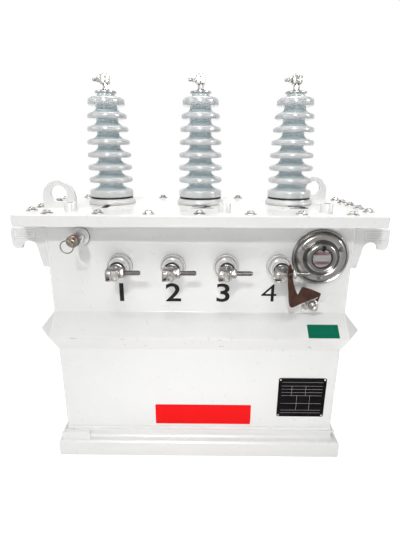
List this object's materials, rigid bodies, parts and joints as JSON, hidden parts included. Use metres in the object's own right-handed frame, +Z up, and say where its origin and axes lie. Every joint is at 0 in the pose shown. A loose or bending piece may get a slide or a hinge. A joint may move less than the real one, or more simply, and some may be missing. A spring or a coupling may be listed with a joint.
{
  "type": "oil-immersed distribution transformer",
  "caption": "White steel tank with a folded ridge, a flanged lid with shedded high-voltage bushings, and low-voltage bushings, a gauge and a relief valve on the front.",
  "frame": {"origin": "middle of the base frame's footprint, on the ground", "axes": "+Z up, the low-voltage front faces -Y, +X to the right seen from the front"},
  "size_m": [1.084, 0.472, 1.2068],
  "materials": {
    "tank_paint": "glossy white paint",
    "porcelain": "glazed pale grey-blue",
    "white_porcelain": "glazed white",
    "rubber": "black rubber",
    "tinned_metal": "tinned and slightly dull",
    "gauge_steel": "spun and polished",
    "window_glass": "clear",
    "valve_metal": "dull brass",
    "copper": "brown weathered copper"
  },
  "bodies": {
    "root": {"back_wall": "tank_paint", "base_rail_back": "tank_paint", "base_rail_front": "tank_paint", "base_rail_left": "tank_paint", "base_rail_right": "tank_paint", "earth_pad": "tank_paint", "earth_strap": "copper", "front_wall": "tank_paint", "gauge_dish": "gauge_steel", "gauge_glass": "window_glass", "hook_back_left": "tank_paint", "hook_back_right": "tank_paint", "hook_front_left": "tank_paint", "hook_front_right": "tank_paint", "hv_caps": "tinned_metal", "hv_clamp_centre": "tinned_metal", "hv_clamp_left": "tinned_metal", "hv_clamp_right": "tinned_metal", "hv_flanges": "tank_paint", "hv_gaskets": "rubber", "hv_porcelain_centre": "porcelain", "hv_porcelain_left": "porcelain", "hv_porcelain_right": "porcelain", "left_wall": "tank_paint", "lid": "tank_paint", "lid_bosses": "tank_paint", "lid_gasket": "rubber", "lug_left": "tank_paint", "lug_right": "tank_paint", "lv_bushing_1": "white_porcelain", "lv_bushing_2": "white_porcelain", "lv_bushing_3": "white_porcelain", "lv_bushing_4": "white_porcelain", "lv_seals": "rubber", "lv_terminal_1": "tinned_metal", "lv_terminal_2": "tinned_metal", "lv_terminal_3": "tinned_metal", "lv_terminal_4": "tinned_metal", "pull_ring": "tinned_metal", "relief_valve": "valve_metal", "relief_valve_seat": "tank_paint", "ridge_corners": "tank_paint", "right_wall": "tank_paint", "tank_floor": "tank_paint", "tank_rim": "tank_paint"}
  },
  "joints": []
}
